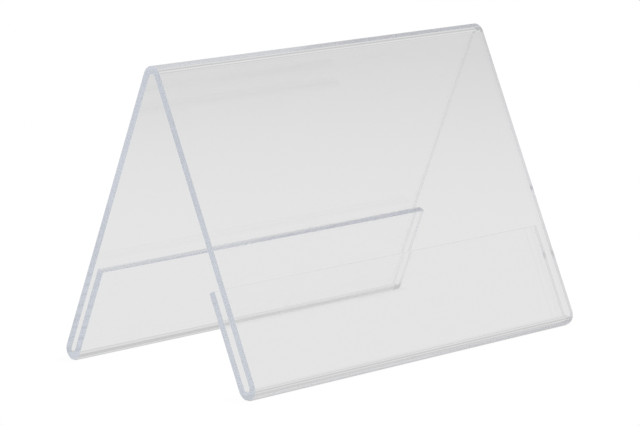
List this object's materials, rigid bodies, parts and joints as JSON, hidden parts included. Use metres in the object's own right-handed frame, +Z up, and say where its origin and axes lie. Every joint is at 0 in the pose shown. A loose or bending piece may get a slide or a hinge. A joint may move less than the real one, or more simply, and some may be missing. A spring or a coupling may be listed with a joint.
{
  "type": "acrylic sign holder",
  "caption": "A-shaped table tent bent from clear acrylic sheet, with a card pocket folded up inside each leg, for showing a landscape card to the front and the rear.",
  "frame": {"origin": "middle of the footprint, at table level", "axes": "+X along the ridge, +Y towards the rear leg, +Z up; the front leg stands towards -Y"},
  "size_m": [0.152, 0.0914, 0.102],
  "materials": {
    "clear_acrylic": "clear, polished"
  },
  "bodies": {
    "rear_leg": {"rear_ridge_bend": "clear_acrylic", "rear_panel": "clear_acrylic", "rear_foot_outer_bend": "clear_acrylic", "rear_foot_inner_bend": "clear_acrylic", "rear_pocket_lip": "clear_acrylic"},
    "front_leg": {"front_ridge_bend": "clear_acrylic", "front_panel": "clear_acrylic", "front_foot_outer_bend": "clear_acrylic", "front_foot_inner_bend": "clear_acrylic", "front_pocket_lip": "clear_acrylic"}
  },
  "joints": [
    {"name": "ridge_flex", "type": "hinge", "parent": "rear_leg", "child": "front_leg", "pos_m": [0, -0.00011, 0.09794], "axis": [1, 0, 0], "range_deg": [-3, 3], "stiffness_Nm_per_rad": 9.6}
  ]
}
